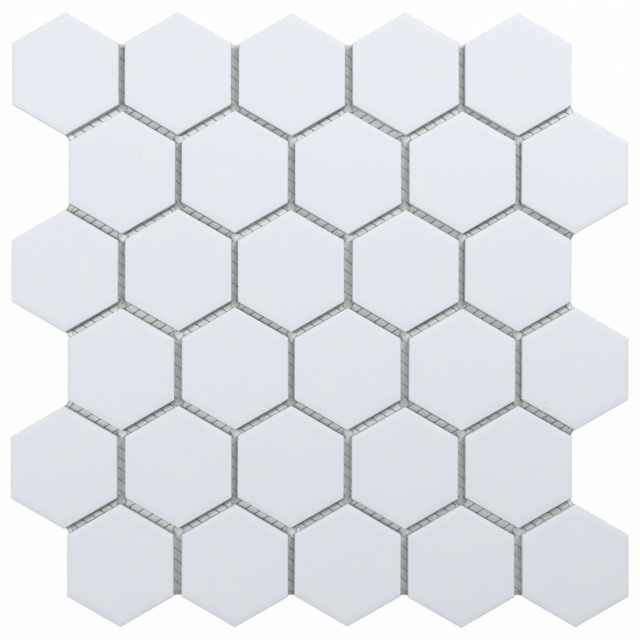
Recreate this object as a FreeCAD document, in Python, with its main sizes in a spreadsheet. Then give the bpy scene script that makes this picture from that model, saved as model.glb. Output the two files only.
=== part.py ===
import FreeCAD, Part
import math
import os
import Sketcher

# A sheet of hexagon mosaic floor tiles: six rows of five unglazed white tiles with open joints,
# every second row set over by half a tile, all bonded on one thin backing of net and glue.
# The sheet lies on its backing. X runs along the rows, Y across them and Z up through the tiles.
# The origin is at the middle of the underside. Millimetres and degrees.

ROWS = 6
COLUMNS = 5

SIZES = {
    # One pressed and fired tile
    "tile_across_flats": 51.3,
    "tile_thickness": 6.0,
    "side_draft": 0.5,
    # The face falls away softly towards its edge, and ends in a small arris
    "cushion_width": 2.2,
    "cushion_drop": 0.32,
    "cushion_radius": 11.0,
    "face_arris_radius": 0.5,
    # Key grooves pressed in the back of each tile
    "groove_width": 2.4,
    "groove_depth": 0.5,
    "groove_spacing": 7.0,
    # How the tiles are set on the sheet
    "joint_width": 3.4,
    "setting_wander": 0.3,
    "setting_twist": 0.25,
    # The backing
    "backing_thickness": 0.6,
    "backing_inset": 0.25,
    "web_radius": 7.0,
}

SIDES = 6
# How a sketch numbers the points of a line or circle, and its own origin
START, END, MIDDLE = 1, 2, 3
ORIGIN = -1
# Two heights nearer than this are the same height
LEVEL = 0.01
# Successive tiles wander in directions this far apart, so that no row or column repeats
WANDER_TURN = 137.5

# The grid is counted in half pitches along X and half cell sides along Y. A cell is a tile with
# half a joint all round, and these are its corners about its middle.
CELL_CORNERS = [(0, 2), (-1, 1), (-1, -1), (0, -2), (1, -1), (1, 1)]
CELL_STEP_X = 2
CELL_STEP_Y = 3

PITCH = "(sizes.tile_across_flats + sizes.joint_width)"
HALF_PITCH = PITCH + " / 2"
CELL_SIDE = PITCH + " / sqrt(3)"
HALF_SIDE = PITCH + " / (2 * sqrt(3))"
# Key grooves on each side of the middle one: as many as lie wholly within the tile's corners
GROOVES_EACH_SIDE = ("floor((sizes.tile_across_flats / sqrt(3) - sizes.groove_width)"
                     " / sizes.groove_spacing)")


def size_sheet(doc):
    """The spreadsheet that holds the driving sizes, one row each, under the names used above."""
    sheet = doc.addObject("Spreadsheet::Sheet", "sizes")
    for row, (name, value) in enumerate(SIZES.items(), start=1):
        sheet.set("A%d" % row, name)
        sheet.set("B%d" % row, str(value))
        sheet.setAlias("B%d" % row, name)
    doc.recompute()
    return sheet


def origin_plane(body, role):
    """One of a body's own origin planes, such as XY_Plane."""
    return [item for item in body.Origin.OriginFeatures if item.Role == role][0]


def new_sketch(body, name):
    """An empty sketch on the body's XY plane."""
    sketch = body.newObject("Sketcher::SketchObject", name)
    sketch.AttachmentSupport = [(origin_plane(body, "XY_Plane"), "")]
    sketch.MapMode = "FlatFace"
    return sketch


def drive(sketch, constraint, expression):
    """Binds a dimension of a sketch to an expression of the sheet's sizes."""
    sketch.setExpression("Constraints[%d]" % constraint, expression)


def draw_loop(sketch, points):
    """Draws straight lines through the points, joined end to end and back to the first."""
    ends = points[1:] + points[:1]
    lines = []
    for start, end in zip(points, ends):
        segment = Part.LineSegment(FreeCAD.Vector(*start, 0), FreeCAD.Vector(*end, 0))
        lines.append(sketch.addGeometry(segment, False))
    for line, following in zip(lines, lines[1:] + lines[:1]):
        sketch.addConstraint(Sketcher.Constraint("Coincident", line, END, following, START))
    return lines


def draw_hexagon(sketch, across_corners):
    """A regular hexagon about the origin, with upright flats left and right."""
    radius = SIZES["tile_across_flats"] / math.sqrt(3)
    turns = [math.radians(90 + 60 * k) for k in range(SIDES)]
    lines = draw_loop(sketch, [(radius * math.cos(a), radius * math.sin(a)) for a in turns])
    middle, up = FreeCAD.Vector(0, 0, 0), FreeCAD.Vector(0, 0, 1)
    circle = sketch.addGeometry(Part.Circle(middle, up, radius), True)
    sketch.addConstraint(Sketcher.Constraint("Coincident", circle, MIDDLE, ORIGIN, START))
    for line in lines:
        sketch.addConstraint(Sketcher.Constraint("PointOnObject", line, START, circle))
    for line in lines[1:]:
        sketch.addConstraint(Sketcher.Constraint("Equal", lines[0], line))
    sketch.addConstraint(Sketcher.Constraint("Vertical", lines[1]))
    size = Sketcher.Constraint("Diameter", circle, 2 * radius)
    drive(sketch, sketch.addConstraint(size), across_corners)


def draw_groove(sketch):
    """A rectangle along X, longer than the tile is wide, for the lowest of the key grooves."""
    length = 2 * SIZES["tile_across_flats"]
    width = SIZES["groove_width"]
    low, high = -SIZES["tile_across_flats"] / 2, width - SIZES["tile_across_flats"] / 2
    corners = [(-length / 2, low), (length / 2, low), (length / 2, high), (-length / 2, high)]
    lines = draw_loop(sketch, corners)
    for line in (lines[0], lines[2]):
        sketch.addConstraint(Sketcher.Constraint("Horizontal", line))
    for line in (lines[1], lines[3]):
        sketch.addConstraint(Sketcher.Constraint("Vertical", line))
    run = Sketcher.Constraint("DistanceX", lines[0], START, lines[0], END, length)
    drive(sketch, sketch.addConstraint(run), "2 * sizes.tile_across_flats")
    right = Sketcher.Constraint("DistanceX", ORIGIN, START, lines[0], END, length / 2)
    drive(sketch, sketch.addConstraint(right), "sizes.tile_across_flats")
    across = Sketcher.Constraint("DistanceY", lines[1], START, lines[1], END, width)
    drive(sketch, sketch.addConstraint(across), "sizes.groove_width")
    below = Sketcher.Constraint("DistanceY", lines[0], START, ORIGIN, START, -low)
    drive(sketch, sketch.addConstraint(below),
          "sizes.groove_spacing * %s + sizes.groove_width / 2" % GROOVES_EACH_SIDE)


def named(kind, elements, test):
    """The names of the edges or faces of a shape that pass a test, such as Edge3."""
    return ["%s%d" % (kind, number) for number, element in enumerate(elements, start=1) if test(element)]


def rises(face):
    """Whether a face climbs from the back of the tile to its front."""
    return face.BoundBox.ZLength > SIZES["tile_thickness"] / 2


def edges_at(shape, height):
    """The names of the level edges of a shape that lie at a height."""
    return named("Edge", shape.Edges, lambda edge: abs(edge.BoundBox.ZMin - height) < LEVEL
                 and abs(edge.BoundBox.ZMax - height) < LEVEL)


def dressed_edges(body, name, kind, base, height, settings):
    """A fillet or chamfer along all the edges of a tile at one height, with its sizes by expression."""
    dressing = body.newObject(kind, name)
    dressing.Base = (base, edges_at(base.Shape, height))
    for setting, size in settings.items():
        dressing.setExpression(setting, "sizes." + size)
    return dressing


def tile(doc, name, index, column_place, row_place):
    """One tile: a drafted hexagon with a cushioned face, a small arris and grooves across its back."""
    body = doc.addObject("PartDesign::Body", name)
    outline = new_sketch(body, name + "_outline")
    draw_hexagon(outline, "2 * sizes.tile_across_flats / sqrt(3)")
    pressing = body.newObject("PartDesign::Pad", name + "_pressing")
    pressing.Profile = outline
    pressing.setExpression("Length", "sizes.tile_thickness")
    doc.recompute()
    draft = body.newObject("PartDesign::Draft", name + "_draft")
    draft.Base = (pressing, named("Face", pressing.Shape.Faces, rises))
    draft.NeutralPlane = (origin_plane(body, "XY_Plane"), [""])
    draft.setExpression("Angle", "sizes.side_draft")
    doc.recompute()
    face, shoulder = SIZES["tile_thickness"], SIZES["tile_thickness"] - SIZES["cushion_drop"]
    slope = dressed_edges(body, name + "_slope", "PartDesign::Chamfer", draft, face,
                          {"Size": "cushion_drop", "Size2": "cushion_width"})
    slope.ChamferType = "Two distances"
    doc.recompute()
    cushion = dressed_edges(body, name + "_cushion", "PartDesign::Fillet", slope, face,
                            {"Radius": "cushion_radius"})
    doc.recompute()
    arris = dressed_edges(body, name + "_arris", "PartDesign::Fillet", cushion, shoulder,
                          {"Radius": "face_arris_radius"})
    doc.recompute()
    plain_volume = arris.Shape.Volume
    groove_outline = new_sketch(body, name + "_groove_outline")
    draw_groove(groove_outline)
    groove = body.newObject("PartDesign::Pocket", name + "_groove")
    groove.Profile = groove_outline
    groove.Reversed = True
    groove.setExpression("Length", "sizes.groove_depth")
    key = body.newObject("PartDesign::LinearPattern", name + "_key")
    key.Originals = [groove]
    key.Direction = (groove_outline, ["V_Axis"])
    key.setExpression("Occurrences", "2 * %s + 1" % GROOVES_EACH_SIDE)
    key.setExpression("Length", "2 * sizes.groove_spacing * %s" % GROOVES_EACH_SIDE)
    body.Tip = key
    body.Label = name
    heading = "%g * %d" % (WANDER_TURN, index)
    place_x = "%s * %g + sizes.setting_wander * cos(%s)" % (HALF_PITCH, column_place, heading)
    place_y = "%s * %g + sizes.setting_wander * sin(%s)" % (HALF_SIDE, row_place, heading)
    twist = "sizes.setting_twist * sin(2 * %s)" % heading
    body.setExpression("Placement", "create(<<placement>>; create(<<vector>>; %s; %s; %s); "
                       "create(<<rotation>>; create(<<vector>>; 0; 0; 1); %s))"
                       % (place_x, place_y, "sizes.backing_thickness", twist))
    doc.recompute()
    if body.Shape.Volume > plain_volume - SIZES["groove_width"] * SIZES["groove_depth"]:
        raise ValueError("%s: the key grooves cut nothing" % name)
    return body


def grid_cells():
    """Every tile's number in the sheet and its cell's middle, on the grid, from the sheet's own middle.

    Row 1 is the far one. The even rows are set over by half a pitch.
    """
    middle_x = (CELL_STEP_X * COLUMNS - 1) / 2
    middle_y = CELL_STEP_Y * (ROWS - 1) / 2
    for row in range(1, ROWS + 1):
        for column in range(1, COLUMNS + 1):
            across = CELL_STEP_X * (column - 1) + (row - 1) % 2
            up = CELL_STEP_Y * (ROWS - row)
            yield row, column, across - middle_x, up - middle_y


def sheet_outline():
    """The corners of all the cells taken together, on the grid, in order round the sheet.

    An edge that two cells share is passed once each way and drops out. What is left is the outside.
    """
    edges = set()
    for _, _, across, up in grid_cells():
        corners = [(across + dx, up + dy) for dx, dy in CELL_CORNERS]
        for start, end in zip(corners, corners[1:] + corners[:1]):
            if (end, start) in edges:
                edges.remove((end, start))
            else:
                edges.add((start, end))
    following = dict(edges)
    outline = [min(following)]
    while following[outline[-1]] != outline[0]:
        outline.append(following[outline[-1]])
    return outline


def draw_sheet_outline(sketch):
    """The outside of the cells, as lines of one length in three directions, placed by one corner."""
    half_pitch = (SIZES["tile_across_flats"] + SIZES["joint_width"]) / 2
    half_side = half_pitch / math.sqrt(3)
    grid = sheet_outline()
    lines = draw_loop(sketch, [(x * half_pitch, y * half_side) for x, y in grid])
    rising = [grid[(k + 1) % len(grid)][1] - grid[k][1] for k in range(len(grid))]
    leaning = [grid[(k + 1) % len(grid)][0] - grid[k][0] for k in range(len(grid))]
    reference = {}
    # The last line only closes the loop, so it needs neither a direction nor a length
    for k, line in enumerate(lines[:-1]):
        slope = 0 if leaning[k] == 0 else rising[k] * leaning[k]
        if slope == 0:
            sketch.addConstraint(Sketcher.Constraint("Vertical", line))
        elif slope in reference:
            sketch.addConstraint(Sketcher.Constraint("Parallel", reference[slope], line))
        else:
            reference[slope] = line
            tilt = math.atan2(rising[k] * half_side, leaning[k] * half_pitch)
            sketch.addConstraint(Sketcher.Constraint("Angle", ORIGIN, START, line, START, tilt))
        if k > 0:
            sketch.addConstraint(Sketcher.Constraint("Equal", lines[0], line))
    across, up = grid[0]
    run = Sketcher.Constraint("Distance", lines[0], 2 * half_side)
    drive(sketch, sketch.addConstraint(run), CELL_SIDE)
    left = Sketcher.Constraint("DistanceX", lines[0], START, ORIGIN, START, -across * half_pitch)
    drive(sketch, sketch.addConstraint(left), "%s * %g" % (HALF_PITCH, -across))
    below = Sketcher.Constraint("DistanceY", lines[0], START, ORIGIN, START, -up * half_side)
    drive(sketch, sketch.addConstraint(below), "%s * %g" % (HALF_SIDE, -up))


def backing(doc, name):
    """The net in its glue: a thin sheet under every tile and joint.

    Its edge keeps just inside the tiles' edges, and is rounded from one tile's corner to the next
    where a joint comes out. The outline grows first and then shrinks by the web's radius, which
    rounds only the corners that point inwards.
    """
    outline = doc.addObject("Sketcher::SketchObject", name + "_outline")
    draw_sheet_outline(outline)
    doc.recompute()
    field = doc.addObject("Part::Face", name + "_field")
    field.Sources = [outline]
    field.FaceMakerClass = "Part::FaceMakerSimple"
    grown = doc.addObject("Part::Offset2D", name + "_grown")
    grown.Source = field
    grown.Mode = "Skin"
    grown.Join = "Intersection"
    grown.setExpression("Value", "sizes.web_radius - sizes.joint_width / 2 - sizes.backing_inset")
    inset = doc.addObject("Part::Offset2D", name + "_inset")
    inset.Source = grown
    inset.Mode = "Skin"
    inset.Join = "Arc"
    inset.setExpression("Value", "-sizes.web_radius")
    sheet = doc.addObject("Part::Extrusion", name)
    sheet.Base = inset
    sheet.DirMode = "Custom"
    sheet.Dir = FreeCAD.Vector(0, 0, 1)
    sheet.Solid = True
    sheet.setExpression("LengthFwd", "sizes.backing_thickness")
    sheet.Label = name
    doc.recompute()
    return sheet


def check(doc, parts):
    """Stops where an object failed to build or a piece is no valid solid."""
    for item in doc.Objects:
        if "Invalid" in item.State or "Error" in item.State:
            raise ValueError("%s failed to build" % item.Name)
    for piece in parts:
        if piece.Shape.isNull() or not piece.Shape.isValid() or len(piece.Shape.Solids) != 1:
            raise ValueError("%s is not one valid solid" % piece.Label)


def main():
    """Builds the sheet and writes each piece to its own file."""
    doc = FreeCAD.newDocument("hexagon_mosaic_sheet")
    size_sheet(doc)
    pieces = [backing(doc, "backing_net")]
    for index, (row, column, across, up) in enumerate(grid_cells()):
        pieces.append(tile(doc, "tile_r%d_c%d" % (row, column), index, across, up))
    doc.recompute()
    check(doc, pieces)
    os.makedirs("parts", exist_ok=True)
    for piece in pieces:
        piece.Shape.exportStep("parts/%s.step" % piece.Label)
    sheet_box = Part.makeCompound([piece.Shape for piece in pieces]).BoundBox
    print("%d pieces, box %s" % (len(pieces), sheet_box))


main()
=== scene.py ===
"""Looks of a sheet of matt white hexagon mosaic tiles, set with open joints on a backing of net and glue.

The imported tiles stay, and get their fired, unglazed finish here. The backing's plain solid is replaced by
what it really is: a film of milky glue, the yarns of the net in it, a bed of glue under each tile, and
the puffs of glue that stand up between the yarns where a joint leaves them open to view.

Metres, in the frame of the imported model: X runs along the rows of tiles, Y across them and Z up.
"""

import logging
import math
from collections.abc import Callable, Iterable, Iterator, Sequence
from contextlib import contextmanager
from dataclasses import dataclass, field
from enum import Enum

import bpy
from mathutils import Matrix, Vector

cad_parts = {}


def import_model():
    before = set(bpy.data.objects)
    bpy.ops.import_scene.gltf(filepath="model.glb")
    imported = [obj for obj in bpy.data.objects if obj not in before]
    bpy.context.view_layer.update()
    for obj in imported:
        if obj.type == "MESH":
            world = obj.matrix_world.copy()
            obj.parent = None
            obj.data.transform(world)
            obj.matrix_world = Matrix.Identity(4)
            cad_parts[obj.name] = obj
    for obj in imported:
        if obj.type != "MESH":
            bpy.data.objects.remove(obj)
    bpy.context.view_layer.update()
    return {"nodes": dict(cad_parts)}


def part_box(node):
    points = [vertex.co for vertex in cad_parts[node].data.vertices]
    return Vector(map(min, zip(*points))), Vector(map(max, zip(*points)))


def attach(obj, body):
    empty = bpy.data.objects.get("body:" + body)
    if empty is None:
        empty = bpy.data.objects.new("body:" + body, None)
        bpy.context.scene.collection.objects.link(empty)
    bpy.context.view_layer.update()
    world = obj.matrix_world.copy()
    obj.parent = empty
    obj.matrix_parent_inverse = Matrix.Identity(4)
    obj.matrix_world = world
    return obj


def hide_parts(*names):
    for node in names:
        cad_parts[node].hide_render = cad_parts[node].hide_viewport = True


BODY = "root"
BACKING_NODE = "backing_net"
TILE_PREFIX = "tile_"
MM = 0.001
SIDES = 6
# A tile's corners about its middle, counted left-about from the one at the far side
FIRST_CORNER = math.radians(90)
CORNER_STEP = math.radians(60)

log = logging.getLogger("mosaic_sheet")

Test = Callable[[bpy.types.MeshPolygon], bool]


class JointKind(Enum):
    """The three ways that a joint runs, seen with row 1 at the top. The value is the side of the tile
    that the joint lies on: right, lower right or lower left."""

    UPRIGHT = 4
    RISING = 3
    FALLING = 2


class YarnFamily(Enum):
    """The net's two sets of yarns, seen from above: one climbs to the right and one falls."""

    CLIMBING = 1
    DROPPING = -1


# Which yarns part the glue in which joint: in a slanted joint those that run across it
CROSSING_YARNS: dict[JointKind, tuple[YarnFamily, ...]] = {
    JointKind.UPRIGHT: (YarnFamily.DROPPING,),
    JointKind.RISING: (YarnFamily.DROPPING,),
    JointKind.FALLING: (YarnFamily.CLIMBING,),
}


@contextmanager
def editing(piece: bpy.types.Object) -> Iterator[None]:
    """Puts one piece alone in edit mode, and leaves it again.

    Args:
        piece: the mesh object to shape.
    """
    bpy.ops.object.select_all(action="DESELECT")
    piece.select_set(True)
    bpy.context.view_layer.objects.active = piece
    bpy.ops.object.mode_set(mode="EDIT")
    bpy.ops.mesh.select_mode(type="FACE")
    try:
        yield
    finally:
        bpy.ops.object.mode_set(mode="OBJECT")


def pick_faces(piece: bpy.types.Object, test: Test) -> int:
    """Selects the faces of a piece that pass a test, and nothing else. Used outside edit mode.

    Args:
        piece: the mesh object.
        test: says of one face whether it is wanted.

    Returns:
        How many faces were selected.
    """
    mesh = piece.data
    wanted = [test(face) for face in mesh.polygons]
    mesh.vertices.foreach_set("select", [False] * len(mesh.vertices))
    mesh.edges.foreach_set("select", [False] * len(mesh.edges))
    mesh.polygons.foreach_set("select", wanted)
    mesh.update()
    return sum(wanted)


def remove_faces(piece: bpy.types.Object, test: Test) -> None:
    """Deletes the faces that pass a test.

    Args:
        piece: the mesh object.
        test: says of one face whether it goes.
    """
    if pick_faces(piece, test):
        with editing(piece):
            bpy.ops.mesh.delete(type="FACE")


def apply_modifier(piece: bpy.types.Object, kind: str, **settings: object) -> None:
    """Adds one modifier to a piece, sets it and applies it.

    Args:
        piece: the mesh object.
        kind: the modifier's type, such as SUBSURF.
        settings: its properties by name.
    """
    bpy.ops.object.select_all(action="DESELECT")
    piece.select_set(True)
    bpy.context.view_layer.objects.active = piece
    modifier = piece.modifiers.new(kind.lower(), kind)
    for name, value in settings.items():
        setattr(modifier, name, value)
    bpy.ops.object.modifier_apply(modifier=modifier.name)


def settle(piece: bpy.types.Object) -> None:
    """Moves a piece's place, turn and scale into its mesh, so that its object sits at the origin."""
    bpy.ops.object.select_all(action="DESELECT")
    piece.select_set(True)
    bpy.context.view_layer.objects.active = piece
    bpy.ops.object.transform_apply(location=True, rotation=True, scale=True)


def joined(pieces: Sequence[bpy.types.Object], name: str) -> bpy.types.Object:
    """Joins several mesh objects into one.

    Args:
        pieces: the objects, which all sit at the origin.
        name: what the whole is called.

    Returns:
        The joined object.
    """
    bpy.ops.object.select_all(action="DESELECT")
    for piece in pieces:
        piece.select_set(True)
    whole = pieces[0]
    bpy.context.view_layer.objects.active = whole
    if len(pieces) > 1:
        bpy.ops.object.join()
    whole.name = name
    whole.data.name = name
    return whole


def turn_outwards(piece: bpy.types.Object) -> int:
    """Flips each closed part of a piece whose faces look inwards.

    Args:
        piece: the mesh object. Within each part the faces agree.

    Returns:
        How many faces were flipped.
    """
    mesh = piece.data
    links = list(range(len(mesh.vertices)))

    def part_of(vertex: int) -> int:
        while links[vertex] != vertex:
            links[vertex] = links[links[vertex]]
            vertex = links[vertex]
        return vertex

    for edge in mesh.edges:
        first, second = (part_of(vertex) for vertex in edge.vertices)
        links[second] = first
    room: dict[int, float] = {}
    for face in mesh.polygons:
        part = part_of(face.vertices[0])
        outward = (face.center - mesh.vertices[part].co).dot(face.normal) * face.area
        room[part] = room.get(part, 0.0) + outward
    flipped = pick_faces(piece, lambda face: room[part_of(face.vertices[0])] < 0)
    if flipped:
        with editing(piece):
            bpy.ops.mesh.flip_normals()
    return flipped


def shade_round(piece: bpy.types.Object, sharpest: float) -> None:
    """Shades a piece smooth, but for edges sharper than an angle in radians."""
    bpy.ops.object.select_all(action="DESELECT")
    piece.select_set(True)
    bpy.context.view_layer.objects.active = piece
    bpy.ops.object.shade_smooth_by_angle(angle=sharpest)


@dataclass(frozen=True)
class TilePlace:
    """Where one tile stands: the middle and the six corners of its foot."""

    name: str
    middle: Vector
    corners: tuple[Vector, ...]

    @classmethod
    def of(cls, node: bpy.types.Object) -> "TilePlace":
        """Reads a tile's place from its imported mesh.

        Args:
            node: the tile's packed object.

        Returns:
            The place of its foot.
        """
        low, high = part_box(node.name)
        foot = [v.co.copy() for v in node.data.vertices if v.co.z < low.z + 0.01 * MM]
        middle = Vector(((low.x + high.x) / 2, (low.y + high.y) / 2, low.z))
        corners = []
        for k in range(SIDES):
            turn = FIRST_CORNER + k * CORNER_STEP
            heading = Vector((math.cos(turn), math.sin(turn), 0))
            corners.append(max(foot, key=lambda point: (point - middle).dot(heading)))
        return cls(node.name, middle, tuple(corners))

    def side_middle(self, side: int) -> Vector:
        """The middle of one side of the foot."""
        return (self.corners[side % SIDES] + self.corners[(side + 1) % SIDES]) / 2


@dataclass(frozen=True)
class Joint:
    """One open joint between two tiles: its two ends on the middle line, and its width at the foot."""

    kind: JointKind
    start: Vector
    end: Vector
    width: float

    @property
    def length(self) -> float:
        """The length of the middle line."""
        return (self.end - self.start).length

    @property
    def heading(self) -> Vector:
        """The way from start to end."""
        return (self.end - self.start).normalized()

    @classmethod
    def between(cls, first: TilePlace, second: TilePlace, kind: JointKind) -> "Joint":
        """The joint on one side of a tile.

        Args:
            first: the tile whose side is named by the kind.
            second: the tile across the joint.
            kind: the way that the joint runs.

        Returns:
            The joint between their feet.
        """
        near, far = kind.value, kind.value + SIDES // 2
        start = (first.corners[near] + second.corners[(far + 1) % SIDES]) / 2
        end = (first.corners[(near + 1) % SIDES] + second.corners[far % SIDES]) / 2
        along = (end - start).normalized()
        across = second.side_middle(far) - first.side_middle(near)
        return cls(kind, start, end, (across - along * across.dot(along)).length)


@dataclass
class SheetPlan:
    """The sheet's layout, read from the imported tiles: where they stand, and the joints between them."""

    tiles: list[TilePlace]
    pitch: float = 0.0
    joints: list[Joint] = field(default_factory=list)

    # Two tiles are neighbours when they are nearer than this share of the pitch
    REACH = 1.1
    # Ends of joints that meet at one place lie nearer together than this
    MEETING = 3.5 * MM

    def __post_init__(self) -> None:
        """Finds the pitch and every joint."""
        first, second = self.tiles[:2]
        self.pitch = (second.middle - first.middle).length
        for tile in self.tiles:
            for kind in JointKind:
                turn = FIRST_CORNER + (kind.value + 0.5) * CORNER_STEP
                beyond = tile.middle + self.pitch * Vector((math.cos(turn), math.sin(turn), 0))
                for other in self.tiles:
                    if (other.middle - beyond).length < (self.REACH - 1) * self.pitch:
                        self.joints.append(Joint.between(tile, other, kind))

    def meetings(self) -> list[list[Vector]]:
        """The places where joints meet or come out, each as the ends of the joints there."""
        groups: list[list[Vector]] = []
        for joint in self.joints:
            for point in (joint.start, joint.end):
                near = [group for group in groups if (group[0] - point).length < self.MEETING]
                if near:
                    near[0].append(point)
                else:
                    groups.append([point])
        return groups

    def comes_out(self, point: Vector) -> bool:
        """Whether a joint's end lies at the sheet's edge, where no other joint meets it."""
        ends = [end for joint in self.joints for end in (joint.start, joint.end)]
        return sum((end - point).length < self.MEETING for end in ends) == 1


@dataclass(frozen=True)
class YarnLines:
    """The straight lines that one set of the net's yarns follows."""

    family: YarnFamily
    slope: float
    spacing: float
    offset: float

    @property
    def across(self) -> Vector:
        """The unit vector across the yarns."""
        return Vector((-self.family.value * math.sin(self.slope), math.cos(self.slope), 0))

    def points(self, reach: float) -> Iterator[Vector]:
        """A point on each yarn that comes within a distance of the sheet's middle.

        Args:
            reach: the distance.

        Yields:
            The yarn's nearest point to the middle.
        """
        count = math.ceil(reach / self.spacing)
        for k in range(-count, count + 1):
            yield self.across * (self.offset + k * self.spacing)

    def cut(self, piece: bpy.types.Object, reach: float) -> None:
        """Cuts a flat piece along every yarn.

        Args:
            piece: a mesh of flat faces.
            reach: how far from the sheet's middle the yarns are laid out.
        """
        with editing(piece):
            for point in self.points(reach):
                bpy.ops.mesh.select_all(action="SELECT")
                bpy.ops.mesh.bisect(plane_co=point, plane_no=self.across)


class Backing:
    """The backing: glue film, net, beds of glue under the tiles, and puffs of glue in the joints."""

    FILM_TOP = 0.28 * MM
    FILM_BOTTOM = 0.05 * MM
    YARN_LEVEL = 0.26 * MM
    YARN_THICKNESS = 0.44 * MM
    YARN_WANDER = 0.08 * MM
    YARN_SEED = 5
    NET_INSET = 2.2 * MM
    GROOVES = {JointKind.UPRIGHT: 0.07 * MM, JointKind.RISING: 0.18 * MM, JointKind.FALLING: 0.18 * MM}
    # The bare film, darker all over for painted shade, left of the puffs and right of them, looking from a joint's
    # start to its end
    WALL_GAPS = {JointKind.UPRIGHT: (0.15 * MM, 0.15 * MM), JointKind.RISING: (0.62 * MM, 0.06 * MM),
                 JointKind.FALLING: (0.10 * MM, 0.10 * MM)}
    WEB_GAP = 0.14 * MM
    CORNER = 0.24 * MM
    PUFF_FOOT = 0.2 * MM
    PUFF_SHOULDER = 0.30 * MM
    # How a puff rolls over at its top, as steps inwards and upwards: full puffs and nearly closed ones
    FULL_ROLLS = ((0.15 * MM, 0.22 * MM), (0.45 * MM, 0.12 * MM))
    CLOSED_ROLLS = ((0.08 * MM, 0.16 * MM), (0.30 * MM, 0.08 * MM))
    SMALLEST_PUFF = 0.7 * MM * MM
    MEETING_RADIUS = 3.4 * MM
    # The patch reaches this share of its radius between the joints, up to the tiles' corners
    MEETING_WAIST = 0.58
    MEETING_ROOM = 1.25 * MM
    OUTER_WEB = 2.35 * MM
    # The web of glue at a joint's open end: how far its middle lies in, its half length and its height
    WEB_MIDDLE = 1.42 * MM
    WEB_REACH = 1.05 * MM
    WEB_HEIGHT = 0.45 * MM
    WEB_CORNERS = 12
    # A joint whose way in climbs more than this comes out at the near side
    NEAR_END = 0.9
    BED_INSET = 0.35 * MM
    MERGE = 0.001 * MM
    FLAT = math.radians(0.5)
    SHARP = math.radians(70)

    def __init__(self, node: bpy.types.Object, plan: SheetPlan, yarns: dict[YarnFamily, YarnLines]) -> None:
        """Takes the plain solid that the backing replaces, the sheet's plan and the yarns' lines."""
        self.node = node
        self.plan = plan
        self.yarns = yarns
        low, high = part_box(node.name)
        self.top = high.z
        self.reach = (high - low).length / 2

    def copy_of_solid(self, name: str) -> bpy.types.Object:
        """A copy of the plain solid with its seams closed and its flat faces whole.

        Args:
            name: what the copy is called.

        Returns:
            The new object.
        """
        piece = bpy.data.objects.new(name, self.node.data.copy())
        bpy.context.scene.collection.objects.link(piece)
        with editing(piece):
            bpy.ops.mesh.select_all(action="SELECT")
            bpy.ops.mesh.remove_doubles(threshold=self.MERGE)
            bpy.ops.mesh.customdata_custom_splitnormals_clear()
            bpy.ops.mesh.select_all(action="SELECT")
            bpy.ops.mesh.dissolve_limited(angle_limit=self.FLAT)
        piece.data.materials.clear()
        return piece

    def film(self) -> bpy.types.Object:
        """The film of glue: the solid's own outline, thinned to what shows between the puffs.

        Returns:
            The film's object.
        """
        piece = self.copy_of_solid("glue_film")
        middle = self.top / 2
        for vertex in piece.data.vertices:
            vertex.co.z = self.FILM_TOP if vertex.co.z > middle else self.FILM_BOTTOM
        return piece

    def net(self) -> bpy.types.Object:
        """The net: the film's outline cut along all the yarns, and its edges given a yarn's thickness.

        Returns:
            The net's object.
        """
        piece = self.copy_of_solid("backing_yarns")
        remove_faces(piece, lambda face: face.normal.z < 0.5 or face.center.z < self.top / 2)
        for vertex in piece.data.vertices:
            vertex.co.z = self.YARN_LEVEL
        with editing(piece):
            bpy.ops.mesh.select_all(action="SELECT")
            bpy.ops.mesh.inset(thickness=self.NET_INSET)
            bpy.ops.mesh.select_all(action="INVERT")
            bpy.ops.mesh.delete(type="FACE")
        for lines in self.yarns.values():
            lines.cut(piece, self.reach)
        log.info("net: %d meshes of yarn", len(piece.data.polygons))
        with editing(piece):
            bpy.ops.mesh.select_all(action="SELECT")
            bpy.ops.transform.vertex_random(offset=self.YARN_WANDER, seed=self.YARN_SEED)
        for vertex in piece.data.vertices:
            vertex.co.z = self.YARN_LEVEL
        apply_modifier(piece, "WIREFRAME", thickness=self.YARN_THICKNESS, use_boundary=True,
                       use_even_offset=False)
        return piece

    def strip(self, joint: Joint, first: float, last: float) -> bpy.types.Object:
        """A flat strip of glue along part of a joint.

        Args:
            joint: the joint.
            first: where it begins, from the joint's start.
            last: where it ends, from the joint's start.

        Returns:
            The strip's object.
        """
        left, right = self.WALL_GAPS[joint.kind]
        leftwards = Vector((-joint.heading.y, joint.heading.x, 0))
        middle = joint.start + joint.heading * (first + last) / 2 + leftwards * (right - left) / 2
        bpy.ops.mesh.primitive_plane_add(size=1)
        piece = bpy.context.object
        piece.location = (middle.x, middle.y, self.PUFF_FOOT)
        piece.rotation_euler.z = math.atan2(joint.heading.y, joint.heading.x)
        piece.scale = (last - first, joint.width - left - right, 1)
        settle(piece)
        return piece

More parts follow.
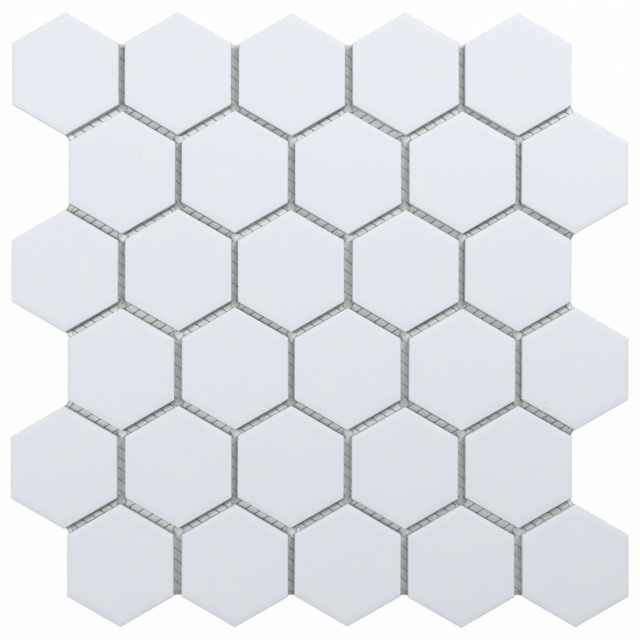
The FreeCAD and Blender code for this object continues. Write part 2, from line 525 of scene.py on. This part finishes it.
    def joint_cells(self, kinds: Sequence[JointKind]) -> bpy.types.Object:
        """The joints' strips, cut where yarns cross them, with each cell drawn in from its neighbours. Where
        a joint comes out, the bare film is left.

        Args:
            kinds: which joints are wanted.

        Returns:
            One flat object with a face for each puff.
        """
        groups = []
        for kind in kinds:
            strips = []
            for joint in self.plan.joints:
                if joint.kind is kind:
                    room = [self.OUTER_WEB if self.plan.comes_out(end) else self.MEETING_ROOM
                            for end in (joint.start, joint.end)]
                    strips.append(self.strip(joint, room[0], joint.length - room[1]))
            group = joined(strips, "strips_" + kind.name.lower())
            for family in CROSSING_YARNS[kind]:
                self.yarns[family].cut(group, self.reach)
            with editing(group):
                bpy.ops.mesh.select_all(action="SELECT")
                bpy.ops.mesh.inset(thickness=self.GROOVES[kind] / 2, use_individual=True)
                bpy.ops.mesh.select_all(action="INVERT")
                bpy.ops.mesh.delete(type="FACE")
            groups.append(group)
        cells = joined(groups, "glue_cells")
        remove_faces(cells, lambda face: face.area < self.SMALLEST_PUFF)
        with editing(cells):
            bpy.ops.mesh.select_all(action="SELECT")
            bpy.ops.mesh.bevel(offset=self.CORNER, affect="VERTICES")
        return cells

    def meeting_cells(self, at_foot: bool) -> list[bpy.types.Object]:
        """A rounded, three-armed patch of glue at each place where three joints meet.

        Args:
            at_foot: whether the patches at the near ends of upright joints are wanted, or the others.

        Returns:
            The patches, flat.
        """
        patches = []
        for ends in self.plan.meetings():
            if len(ends) < len(YarnFamily) + 1:
                continue
            middle = sum(ends, Vector()) / len(ends)
            if at_foot != any((end - middle).normalized().y > self.NEAR_END for end in ends):
                continue
            arm = ends[0] - middle
            bpy.ops.mesh.primitive_circle_add(vertices=SIDES, radius=self.MEETING_RADIUS, fill_type="NGON")
            patch = bpy.context.object
            for corner in list(patch.data.vertices)[1::2]:
                corner.co *= self.MEETING_WAIST
            patch.location = (middle.x, middle.y, self.PUFF_FOOT)
            first_corner = patch.data.vertices[0].co
            patch.rotation_euler.z = math.atan2(arm.y, arm.x) - math.atan2(first_corner.y, first_corner.x)
            settle(patch)
            patches.append(patch)
        return patches

    def falling_puffs(self) -> bpy.types.Object:
        """The full puffs of the falling joints."""
        return self.puffs(joined([self.joint_cells((JointKind.FALLING,))], "glue_puffs_falling"), self.FULL_ROLLS)

    def rising_puffs(self) -> bpy.types.Object:
        """The full puffs of the rising joints, with the patches where an upright joint begins below."""
        cells = self.joint_cells((JointKind.RISING,))
        return self.puffs(joined([cells] + self.meeting_cells(at_foot=False), "glue_puffs_rising"), self.FULL_ROLLS)

    def upright_puffs(self) -> bpy.types.Object:
        """The nearly closed glue of the upright joints, with the patches at their near ends."""
        cells = self.joint_cells((JointKind.UPRIGHT,))
        return self.puffs(joined([cells] + self.meeting_cells(at_foot=True), "glue_ribbons"), self.CLOSED_ROLLS)

    def puffs(self, piece: bpy.types.Object, rolls: Iterable[tuple[float, float]]) -> bpy.types.Object:
        """Raises flat cells and rolls them over at their tops.

        Args:
            piece: the flat cells.
            rolls: the steps inwards and upwards of the rolled top.

        Returns:
            The same object, as rounded closed puffs.
        """
        pick_faces(piece, lambda face: face.normal.z < 0)
        with editing(piece):
            bpy.ops.mesh.flip_normals()
            bpy.ops.mesh.select_all(action="SELECT")
            bpy.ops.mesh.extrude_region_move(
                TRANSFORM_OT_translate={"value": (0, 0, self.PUFF_SHOULDER)})
            for width, rise in rolls:
                bpy.ops.mesh.inset(thickness=width, depth=rise, use_individual=True)
            bpy.ops.mesh.select_all(action="SELECT")
            bpy.ops.mesh.normals_make_consistent(inside=False)
        log.info("%s: %d faces turned outwards", piece.name, turn_outwards(piece))
        apply_modifier(piece, "SUBSURF", levels=1, render_levels=1)
        return piece

    def webs(self) -> bpy.types.Object:
        """The rounded web of glue at each joint's open end, but for the near ends, which stay bare.

        Returns:
            The object that holds all the webs.
        """
        webs = []
        for joint in self.plan.joints:
            for end, inward in ((joint.start, joint.heading), (joint.end, -joint.heading)):
                if not self.plan.comes_out(end) or inward.y > self.NEAR_END:
                    continue
                middle = end + inward * self.WEB_MIDDLE
                bpy.ops.mesh.primitive_circle_add(vertices=self.WEB_CORNERS, radius=1, fill_type="NGON")
                web = bpy.context.object
                web.location = (middle.x, middle.y, self.PUFF_FOOT)
                web.rotation_euler.z = math.atan2(inward.y, inward.x)
                web.scale = (self.WEB_REACH, (joint.width - self.WEB_GAP) / 2, 1)
                settle(web)
                webs.append(web)
        piece = joined(webs, "glue_webs")
        with editing(piece):
            bpy.ops.mesh.select_all(action="SELECT")
            bpy.ops.mesh.extrude_region_move(TRANSFORM_OT_translate={"value": (0, 0, self.WEB_HEIGHT)})
            bpy.ops.mesh.inset(thickness=self.WEB_GAP, depth=self.WEB_GAP / 2, use_individual=True)
            bpy.ops.mesh.select_all(action="SELECT")
            bpy.ops.mesh.normals_make_consistent(inside=False)
        return piece

    def beds(self) -> bpy.types.Object:
        """The bed of glue under each tile, which fills the height from the film to the tile's back.

        Returns:
            The object that holds all the beds.
        """
        beds = []
        radius = (self.plan.tiles[0].corners[0] - self.plan.tiles[0].middle).length - self.BED_INSET
        for tile in self.plan.tiles:
            bpy.ops.mesh.primitive_circle_add(vertices=SIDES, radius=radius, fill_type="NGON")
            bed = bpy.context.object
            first_corner = bed.data.vertices[0].co
            bed.rotation_euler.z = FIRST_CORNER - math.atan2(first_corner.y, first_corner.x)
            bed.location = (tile.middle.x, tile.middle.y, (self.FILM_TOP + self.FILM_BOTTOM) / 2)
            settle(bed)
            beds.append(bed)
        piece = joined(beds, "glue_beds")
        with editing(piece):
            bpy.ops.mesh.select_all(action="SELECT")
            bpy.ops.mesh.extrude_region_move(
                TRANSFORM_OT_translate={"value": (0, 0, self.top - (self.FILM_TOP + self.FILM_BOTTOM) / 2)})
            bpy.ops.mesh.select_all(action="SELECT")
            bpy.ops.mesh.normals_make_consistent(inside=False)
        return piece

    def build(self, shaded_film_finish: bpy.types.Material, shaded_upright_finish: bpy.types.Material, dull: bpy.types.Material,
              glue: bpy.types.Material, yarn: bpy.types.Material) -> None:
        """Makes and dresses every piece of the backing.

        Args:
            shaded_film_finish: the finish of the film, the glue darkened all over by painted shade.
            shaded_upright_finish: the finish of the upright joints' glue, darkened by painted shade.
            dull: the finish of the rising joints' glue, darkened by painted shade.
            glue: the finish of the beds, the falling joints' puffs and the webs.
            yarn: the finish of the net.
        """
        # The film, the upright joints' glue and the rising joints' glue take the darker copies of the glue, which paint
        # shade
        finishes = ((self.film, shaded_film_finish), (self.net, yarn), (self.beds, glue), (self.falling_puffs, glue),
                    (self.rising_puffs, dull), (self.upright_puffs, shaded_upright_finish), (self.webs, glue))
        for make, finish in finishes:
            piece = make()
            piece.data.materials.clear()
            piece.data.materials.append(finish)
            shade_round(piece, self.SHARP)
            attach(piece, BODY)
            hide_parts(BACKING_NODE)
            triangles = sum(len(face.vertices) - 2 for face in piece.data.polygons)
            log.info("%s: %d triangles", piece.name, triangles)


class Graph:
    """A node tree under construction: adds nodes, sets them and links them in one call each."""

    def __init__(self, tree: bpy.types.NodeTree) -> None:
        """Takes the tree that the nodes go into."""
        self.tree = tree

    def add(self, kind: str, inputs: dict[str | int, object] | None = None, **settings: object) -> bpy.types.Node:
        """Adds one node.

        Args:
            kind: the node's type, such as ShaderNodeTexNoise.
            inputs: a value, or another node's output, for each input by name or place.
            settings: the node's own properties.

        Returns:
            The new node.
        """
        node = self.tree.nodes.new(kind)
        for name, value in settings.items():
            setattr(node, name, value)
        for name, value in (inputs or {}).items():
            if isinstance(value, bpy.types.NodeSocket):
                self.tree.links.new(value, node.inputs[name])
            else:
                node.inputs[name].default_value = value
        return node

    def math(self, operation: str, first: object, second: object = 0.0, clamp: bool = False) -> bpy.types.NodeSocket:
        """Adds one sum.

        Args:
            operation: its name, such as MULTIPLY.
            first: its first value or socket.
            second: its second value or socket.
            clamp: whether the result is kept between 0 and 1.

        Returns:
            The output socket.
        """
        node = self.add("ShaderNodeMath", {0: first, 1: second}, operation=operation, use_clamp=clamp)
        return node.outputs[0]

    def mix(self, factor: object, first: object, second: object) -> bpy.types.NodeSocket:
        """Mixes two colours.

        Args:
            factor: how much of the second.
            first: a colour or socket.
            second: a colour or socket.

        Returns:
            The mixed colour's socket.
        """
        node = self.add("ShaderNodeMix", data_type="RGBA")
        for name, value in (("Factor_Float", factor), ("A_Color", first), ("B_Color", second)):
            socket = next(item for item in node.inputs if item.identifier == name)
            if isinstance(value, bpy.types.NodeSocket):
                self.tree.links.new(value, socket)
            else:
                socket.default_value = value
        return next(item for item in node.outputs if item.identifier == "Result_Color")


class Effect:
    """A node group with named inputs and outputs, built once and placed in each material that uses it."""

    def __init__(self, name: str, inputs: dict[str, tuple[str, object]], outputs: dict[str, str]) -> None:
        """Makes the group's shell.

        Args:
            name: the group's name.
            inputs: for each input its socket type and default.
            outputs: for each output its socket type.
        """
        self.tree = bpy.data.node_groups.new(name, "ShaderNodeTree")
        for label, (kind, default) in inputs.items():
            socket = self.tree.interface.new_socket(label, in_out="INPUT", socket_type=kind)
            if default is not None:
                socket.default_value = default
        for label, kind in outputs.items():
            self.tree.interface.new_socket(label, in_out="OUTPUT", socket_type=kind)
        self.graph = Graph(self.tree)
        self.source = self.graph.add("NodeGroupInput").outputs
        self.sink = self.graph.add("NodeGroupOutput").inputs

    def give(self, label: str, socket: bpy.types.NodeSocket) -> None:
        """Links a socket to one of the group's outputs."""
        self.tree.links.new(socket, self.sink[label])

    def place(self, graph: Graph, inputs: dict[str, object]) -> bpy.types.NodeOutputs:
        """Puts the group into a material.

        Args:
            graph: the material's graph.
            inputs: values or sockets for the group's inputs.

        Returns:
            The placed group's outputs.
        """
        node = graph.add("ShaderNodeGroup", node_tree=self.tree)
        for label, value in inputs.items():
            if isinstance(value, bpy.types.NodeSocket):
                graph.tree.links.new(value, node.inputs[label])
            else:
                node.inputs[label].default_value = value
        return node.outputs


FLOAT = "NodeSocketFloat"
VECTOR = "NodeSocketVector"


def cloud_effect() -> Effect:
    """Soft clouds of tone: a mask that drifts between 0 and 1 over a stated size."""
    effect = Effect("soft_clouds", {"Vector": (VECTOR, None), "Size": (FLOAT, 0.01), "Detail": (FLOAT, 2.0)},
                    {"Mask": FLOAT})
    graph = effect.graph
    scale = graph.math("DIVIDE", 1.0, effect.source["Size"])
    noise = graph.add("ShaderNodeTexNoise", {"Vector": effect.source["Vector"], "Scale": scale,
                                             "Detail": effect.source["Detail"]})
    spread = graph.add("ShaderNodeMapRange", {"Value": noise.outputs["Fac"], "From Min": 0.3, "From Max": 0.7})
    effect.give("Mask", spread.outputs["Result"])
    return effect


def speck_effect() -> Effect:
    """Sparse specks: a mask of small round dots, one in few cells of a scatter of the stated size."""
    effect = Effect("sparse_specks", {"Vector": (VECTOR, None), "Spacing": (FLOAT, 0.01),
                                      "Radius": (FLOAT, 0.05), "Share": (FLOAT, 0.2)}, {"Mask": FLOAT})
    graph = effect.graph
    scale = graph.math("DIVIDE", 1.0, effect.source["Spacing"])
    cells = graph.add("ShaderNodeTexVoronoi", {"Vector": effect.source["Vector"], "Scale": scale})
    near = graph.math("SUBTRACT", 1.0, graph.math("DIVIDE", cells.outputs["Distance"],
                                                  effect.source["Radius"]), clamp=True)
    channels = graph.add("ShaderNodeSeparateColor", {0: cells.outputs["Color"]})
    chosen = graph.math("LESS_THAN", channels.outputs[0], effect.source["Share"])
    effect.give("Mask", graph.math("MULTIPLY", near, chosen))
    return effect


def mark_effect() -> Effect:
    """One stray mark: a soft oblong spot at a stated place, with a stated length, width and turn."""
    effect = Effect("stray_mark", {"Vector": (VECTOR, None), "Place": (VECTOR, (0, 0, 0)),
                                   "Length": (FLOAT, 0.002), "Width": (FLOAT, 0.001), "Turn": (FLOAT, 0.0)},
                    {"Mask": FLOAT})
    graph = effect.graph
    offset = graph.add("ShaderNodeVectorMath", {0: effect.source["Vector"], 1: effect.source["Place"]},
                       operation="SUBTRACT")
    turned = graph.add("ShaderNodeVectorRotate", {"Vector": offset.outputs[0], "Angle": effect.source["Turn"]},
                       rotation_type="Z_AXIS")
    parts = graph.add("ShaderNodeSeparateXYZ", {0: turned.outputs[0]})
    along = graph.math("DIVIDE", parts.outputs[0], effect.source["Length"])
    across = graph.math("DIVIDE", parts.outputs[1], effect.source["Width"])
    square = graph.math("ADD", graph.math("MULTIPLY", along, along), graph.math("MULTIPLY", across, across))
    effect.give("Mask", graph.math("SUBTRACT", 1.0, graph.math("MULTIPLY", square, 4.0), clamp=True))
    return effect


def yarn_effect() -> Effect:
    """One set of yarns seen through what lies on them: a mask of soft straight lines."""
    effect = Effect("yarns_below", {"Vector": (VECTOR, None), "Across": (VECTOR, (0, 1, 0)),
                                    "Offset": (FLOAT, 0.0), "Spacing": (FLOAT, 0.004), "Reach": (FLOAT, 0.0003)},
                    {"Mask": FLOAT})
    graph = effect.graph
    along = graph.add("ShaderNodeVectorMath", {0: effect.source["Vector"], 1: effect.source["Across"]},
                      operation="DOT_PRODUCT").outputs["Value"]
    count = graph.math("DIVIDE", graph.math("SUBTRACT", along, effect.source["Offset"]), effect.source["Spacing"])
    share = graph.math("SUBTRACT", graph.math("FRACT", graph.math("ADD", count, 0.5)), 0.5)
    distance = graph.math("MULTIPLY", graph.math("ABSOLUTE", share), effect.source["Spacing"])
    effect.give("Mask", graph.math("SUBTRACT", 1.0, graph.math("DIVIDE", distance, effect.source["Reach"]), clamp=True))
    return effect


@dataclass(frozen=True)
class StrayMark:
    """A small mark on a tile's face, where the real sheet has it."""

    x: float
    y: float
    length: float
    width: float
    turn: float
    colour: tuple[float, float, float, float]
    strength: float


class Material:
    """A new material with its Principled shader, its Object coordinates and a graph to add to."""

    def __init__(self, name: str) -> None:
        """Makes the material.

        Args:
            name: its name.
        """
        self.material = bpy.data.materials.new(name)
        self.material.use_nodes = True
        self.graph = Graph(self.material.node_tree)
        self.shader = self.material.node_tree.nodes["Principled BSDF"]
        self.place = self.graph.add("ShaderNodeTexCoord").outputs["Object"]

    def feed(self, socket: str, value: object) -> None:
        """Sets an input of the shader, or links a socket to it."""
        if isinstance(value, bpy.types.NodeSocket):
            self.material.node_tree.links.new(value, self.shader.inputs[socket])
        else:
            self.shader.inputs[socket].default_value = value

    def bump(self, layers: Sequence[tuple[bpy.types.NodeSocket, float]]) -> None:
        """Raises the surface by one or more layers of height.

        Args:
            layers: each a height from 0 to 1 and its depth in metres.
        """
        normal = None
        for height, depth in layers:
            inputs = {"Height": height, "Distance": depth, "Strength": 1.0}
            if normal is not None:
                inputs["Normal"] = normal
            normal = self.graph.add("ShaderNodeBump", inputs).outputs["Normal"]
        self.feed("Normal", normal)


@dataclass(frozen=True)
class UnglazedWhite:
    """The fired, unglazed white body of the tiles: matt, very fine grained and faintly clouded, with painted shade on
    the steep edges of the face.
    """

    cool: tuple[float, float, float, float] = (0.748, 0.784, 0.842, 1)
    warm: tuple[float, float, float, float] = (0.762, 0.784, 0.823, 1)
    raw: tuple[float, float, float, float] = (0.74, 0.75, 0.76, 1)
    painted_edge_shade: tuple[float, float, float, float] = (0.73, 0.745, 0.765, 1)
    # How level the surface is where the painted shade on the edge begins and ends, and where the raw side begins
    edge_rise: tuple[float, float] = (0.93, 0.60)
    side_rise: tuple[float, float] = (0.35, 0.10)
    speck: tuple[float, float, float, float] = (0.45, 0.44, 0.42, 1)
    roughness: tuple[float, float] = (0.58, 0.70)
    cloud_size: float = 9 * MM
    grain_size: float = 0.35 * MM
    grain_depth: float = 0.006 * MM
    wave_size: float = 22 * MM
    wave_depth: float = 0.05 * MM
    speck_spacing: float = 14 * MM
    marks: tuple[StrayMark, ...] = ()

    def make(self, clouds: Effect, specks: Effect, mark: Effect) -> bpy.types.Material:
        """Builds the material.

        Args:
            clouds: the effect that gives soft tone.
            specks: the effect that gives sparse dots.
            mark: the effect that gives one stray mark.

        Returns:
            The tiles' material.
        """
        finish = Material("unglazed_white")
        graph = finish.graph
        tone = clouds.place(graph, {"Vector": finish.place, "Size": self.cloud_size, "Detail": 3.0})["Mask"]
        colour = graph.mix(tone, self.cool, self.warm)
        normal = graph.add("ShaderNodeNewGeometry").outputs["Normal"]
        rise = graph.add("ShaderNodeSeparateXYZ", {0: normal}).outputs[2]
        # Painted shade: the steep edge all round the face takes the darker, greyer edge colour, then the sides take the
        # raw body's colour
        for (begins, ends), bare in ((self.edge_rise, self.painted_edge_shade), (self.side_rise, self.raw)):
            share = graph.add("ShaderNodeMapRange", {"Value": rise, "From Min": begins, "From Max": ends},
                              interpolation_type="SMOOTHSTEP").outputs["Result"]
            colour = graph.mix(share, colour, bare)
        dots = specks.place(graph, {"Vector": finish.place, "Spacing": self.speck_spacing, "Radius": 0.012,
                                    "Share": 0.12})["Mask"]
        colour = graph.mix(graph.math("MULTIPLY", dots, 0.5), colour, self.speck)
        for item in self.marks:
            spot = mark.place(graph, {"Vector": finish.place, "Place": (item.x, item.y, 6.6 * MM),
                                      "Length": item.length, "Width": item.width, "Turn": item.turn})["Mask"]
            colour = graph.mix(graph.math("MULTIPLY", spot, item.strength), colour, item.colour)
        finish.feed("Base Color", colour)
        grain = clouds.place(graph, {"Vector": finish.place, "Size": self.grain_size, "Detail": 4.0})["Mask"]
        low, high = self.roughness
        rough = graph.math("ADD", low, graph.math("MULTIPLY", grain, high - low))
        finish.feed("Roughness", rough)
        wave = clouds.place(graph, {"Vector": finish.place, "Size": self.wave_size, "Detail": 1.0})["Mask"]
        finish.bump(((wave, self.wave_depth), (grain, self.grain_depth)))
        return finish.material


@dataclass(frozen=True)
class MilkyGlue:
    """The glue of the backing: milky white with a satin skin, and fine ripples where it has set."""

    name: str = "milky_glue"
    pale: tuple[float, float, float, float] = (0.84, 0.86, 0.855, 1)
    dull: tuple[float, float, float, float] = (0.76, 0.78, 0.77, 1)
    roughness: tuple[float, float] = (0.38, 0.55)
    cloud_size: float = 5 * MM
    ripple_size: float = 0.9 * MM
    ripple_depth: float = 0.03 * MM
    shade: tuple[float, float, float, float] = (0.42, 0.42, 0.40, 1)
    shade_share: float = 0.15
    shade_reach: float = 0.42 * MM

    def make(self, clouds: Effect, below: Effect, yarns: Iterable[YarnLines]) -> bpy.types.Material:
        """Builds the material.

        Args:
            clouds: the effect that gives soft tone.
            below: the effect that gives yarns seen through the glue.
            yarns: the net's sets of yarns.

        Returns:
            The glue's material.
        """
        finish = Material(self.name)
        graph = finish.graph
        tone = clouds.place(graph, {"Vector": finish.place, "Size": self.cloud_size, "Detail": 2.0})["Mask"]
        colour = graph.mix(tone, self.dull, self.pale)
        for lines in yarns:
            mask = below.place(graph, {"Vector": finish.place, "Across": lines.across, "Offset": lines.offset,
                                       "Spacing": lines.spacing, "Reach": self.shade_reach})["Mask"]
            colour = graph.mix(graph.math("MULTIPLY", mask, self.shade_share), colour, self.shade)
        finish.feed("Base Color", colour)
        ripple = clouds.place(graph, {"Vector": finish.place, "Size": self.ripple_size, "Detail": 2.0})["Mask"]
        low, high = self.roughness
        finish.feed("Roughness", graph.math("ADD", low, graph.math("MULTIPLY", ripple, high - low)))
        finish.bump(((ripple, self.ripple_depth),))
        return finish.material


@dataclass(frozen=True)
class WettedYarn:
    """The net's glass yarns, wetted through by the glue, so that they look darker than it."""

    dark: tuple[float, float, float, float] = (0.20, 0.20, 0.19, 1)
    light: tuple[float, float, float, float] = (0.34, 0.345, 0.335, 1)
    fibre_size: float = 0.25 * MM
    fibre_depth: float = 0.02 * MM
    roughness: float = 0.42

    def make(self, clouds: Effect) -> bpy.types.Material:
        """Builds the material.

        Args:
            clouds: the effect that gives soft tone.

        Returns:
            The yarns' material.
        """
        finish = Material("wetted_yarn")
        graph = finish.graph
        fibres = clouds.place(graph, {"Vector": finish.place, "Size": self.fibre_size, "Detail": 2.0})["Mask"]
        finish.feed("Base Color", graph.mix(fibres, self.dark, self.light))
        finish.feed("Roughness", self.roughness)
        finish.bump(((fibres, self.fibre_depth),))
        return finish.material


@dataclass(frozen=True)
class SoftLamp:
    """One broad, soft lamp, aimed at the sheet's middle."""

    name: str
    azimuth: float
    elevation: float
    power: float
    width: float
    height: float
    distance: float = 1.1

    def hang(self) -> None:
        """Puts the lamp into the scene."""
        light = bpy.data.lights.new(self.name, "AREA")
        light.shape = "RECTANGLE"
        light.size = self.width
        light.size_y = self.height
        light.energy = self.power
        lamp = bpy.data.objects.new(self.name, light)
        level = math.cos(self.elevation)
        away = Vector((level * math.cos(self.azimuth), level * math.sin(self.azimuth), math.sin(self.elevation)))
        lamp.location = away * self.distance
        lamp.rotation_euler = (-away).to_track_quat("-Z", "Y").to_euler()
        bpy.context.scene.collection.objects.link(lamp)


# The azimuth is counted from +X towards +Y, the far side
LAMPS = (
    SoftLamp("lamp_far_right_high", math.radians(62), math.radians(58), 3.3, 0.3, 0.3),
    SoftLamp("lamp_far_right_low", math.radians(42), math.radians(40), 3.5, 0.6, 0.3),
    SoftLamp("lamp_left", math.radians(172), math.radians(55), 4.5, 0.4, 0.4),
)


@dataclass
class Studio:
    """The floor, the light all round, the soft lamps and the camera above."""

    lamps: tuple[SoftLamp, ...] = LAMPS
    floor_size: float = 3.0
    floor_drop: float = 0.1 * MM
    floor_tone: tuple[float, float, float, float] = (0.62, 0.62, 0.62, 1)
    white_share: float = 0.98
    sky_strength: float = 0.26
    camera_height: float = 1.15
    picture_pixels: float = 640.0
    pixel_pitch_at_tiles: float = 0.4816 * MM
    sheet_middle_px: tuple[float, float] = (319.86, 319.97)
    turn: float = math.radians(0.088)
    sensor: float = 36.0

    def white_to_camera(self, graph: Graph) -> bpy.types.NodeSocket:
        """A mask that is 1 for rays that show the surroundings: seen, mirrored or through glass."""
        rays = graph.add("ShaderNodeLightPath").outputs
        seen = graph.math("ADD", rays["Is Camera Ray"], rays["Is Glossy Ray"], clamp=True)
        return graph.math("ADD", seen, rays["Is Transmission Ray"], clamp=True)

    def floor(self) -> None:
        """A wide pale floor that looks white and keeps the sheet's shadow."""
        bpy.ops.object.select_all(action="DESELECT")
        bpy.ops.mesh.primitive_plane_add(size=self.floor_size, location=(0, 0, -self.floor_drop))
        floor = bpy.context.object
        floor.name = "studio_floor"
        finish = Material("studio_floor")
        graph = finish.graph
        finish.feed("Base Color", self.floor_tone)
        finish.feed("Roughness", 0.9)
        glow = graph.add("ShaderNodeEmission", {"Color": (1, 1, 1, 1), "Strength": 1.0})
        share = graph.math("MULTIPLY", self.white_to_camera(graph), self.white_share)
        mixed = graph.add("ShaderNodeMixShader", {0: share, 1: finish.shader.outputs[0], 2: glow.outputs[0]})
        output = finish.material.node_tree.nodes["Material Output"]
        finish.material.node_tree.links.new(mixed.outputs[0], output.inputs["Surface"])
        floor.data.materials.append(finish.material)

    def sky(self) -> None:
        """Even light from all round, which looks white itself."""
        world = bpy.data.worlds.new("studio_light")
        world.use_nodes = True
        bpy.context.scene.world = world
        graph = Graph(world.node_tree)
        background = world.node_tree.nodes["Background"]
        background.inputs["Color"].default_value = (1, 1, 1, 1)
        seen = self.white_to_camera(graph)
        extra = graph.math("MULTIPLY", seen, 1 - self.sky_strength)
        strength = graph.math("ADD", extra, self.sky_strength)
        world.node_tree.links.new(strength, background.inputs["Strength"])

    def camera(self, face_height: float) -> None:
        """A camera straight above that frames the tiles' faces as the picture does.

        Args:
            face_height: the height of the tiles' faces.
        """
        data = bpy.data.cameras.new("camera")
        width = self.picture_pixels * self.pixel_pitch_at_tiles
        data.sensor_width = self.sensor
        data.lens = self.sensor * (self.camera_height - face_height) / width
        camera = bpy.data.objects.new("camera", data)
        middle = self.picture_pixels / 2
        across, down = self.sheet_middle_px
        camera.location = ((middle - across) * self.pixel_pitch_at_tiles,
                           (down - middle) * self.pixel_pitch_at_tiles, self.camera_height)
        camera.rotation_euler.z = self.turn
        bpy.context.scene.collection.objects.link(camera)
        bpy.context.scene.camera = camera

    def build(self, face_height: float) -> None:
        """Sets up all of it, and the plain view of colours."""
        self.floor()
        self.sky()
        for lamp in self.lamps:
            lamp.hang()
        self.camera(face_height)
        bpy.context.scene.view_settings.view_transform = "Standard"


NET = {
    YarnFamily.CLIMBING: YarnLines(YarnFamily.CLIMBING, math.radians(32.1), 4.358 * MM, 2.50 * MM),
    YarnFamily.DROPPING: YarnLines(YarnFamily.DROPPING, math.radians(33.2), 4.378 * MM, 0.41 * MM),
}

# Copies of the glue darkened by painted shade: the film darkest, for the shade in the crevices at the walls' feet and
# between the puffs; the upright joints' glue for the shade in those narrow joints; the rising joints' glue for the
# shade under their upper walls
SHADED_FILM_GLUE = MilkyGlue(name="shaded_film_glue", pale=(0.60, 0.605, 0.59, 1), dull=(0.52, 0.525, 0.51, 1))
SHADED_UPRIGHT_GLUE = MilkyGlue(name="shaded_upright_glue", pale=(0.65, 0.665, 0.65, 1), dull=(0.58, 0.595, 0.58, 1))
SHADED_RISING_GLUE = MilkyGlue(name="shaded_rising_glue", pale=(0.75, 0.775, 0.77, 1), dull=(0.67, 0.695, 0.69, 1))

MARKS = (
    StrayMark(-86.9 * MM, 79.5 * MM, 3.4 * MM, 0.8 * MM, math.radians(68), (0.76, 0.62, 0.42, 1), 0.8),
    StrayMark(-2.2 * MM, 25.7 * MM, 0.8 * MM, 0.8 * MM, 0.0, (0.40, 0.42, 0.42, 1), 0.5),
    StrayMark(-105.7 * MM, -138.2 * MM, 1.2 * MM, 0.9 * MM, 0.0, (0.45, 0.45, 0.45, 1), 0.4),
    StrayMark(108.9 * MM, -39.7 * MM, 1.0 * MM, 0.9 * MM, 0.0, (0.32, 0.34, 0.34, 1), 0.8),
    StrayMark(39.9 * MM, -75.3 * MM, 0.8 * MM, 0.8 * MM, 0.0, (0.36, 0.36, 0.36, 1), 0.7),
    StrayMark(-92.3 * MM, 59.5 * MM, 0.9 * MM, 0.8 * MM, 0.0, (0.60, 0.50, 0.40, 1), 0.5),
)


def dress_tiles(nodes: dict[str, bpy.types.Object], finish: bpy.types.Material) -> int:
    """Gives every packed tile its finish.

    Args:
        nodes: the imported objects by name.
        finish: the tiles' material.

    Returns:
        How many tiles were dressed.
    """
    tiles = [node for name, node in nodes.items() if name.startswith(TILE_PREFIX)]
    for tile in tiles:
        for slot in tile.material_slots:
            slot.material = finish
    return len(tiles)


def main() -> None:
    """Dresses the tiles, builds the backing and sets up the studio."""
    logging.basicConfig(level=logging.INFO, format="%(message)s")
    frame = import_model()
    nodes = frame["nodes"]
    bpy.context.scene.tool_settings.mesh_select_mode = (False, False, True)
    tiles = [TilePlace.of(nodes[name]) for name in sorted(nodes) if name.startswith(TILE_PREFIX)]
    plan = SheetPlan(tiles)
    log.info("plan: %d tiles, %d joints", len(plan.tiles), len(plan.joints))

    clouds = cloud_effect()
    specks = speck_effect()
    mark = mark_effect()
    count = dress_tiles(nodes, UnglazedWhite(marks=MARKS).make(clouds, specks, mark))
    log.info("tiles dressed: %d", count)
    below = yarn_effect()
    glues = [glue.make(clouds, below, NET.values()) for glue in (SHADED_FILM_GLUE, SHADED_UPRIGHT_GLUE, SHADED_RISING_GLUE, MilkyGlue())]
    Backing(nodes[BACKING_NODE], plan, NET).build(*glues, WettedYarn().make(clouds))

    face_height = max(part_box(tile.name)[1].z for tile in tiles)
    Studio().build(face_height)


if __name__ == "__main__":
    main()
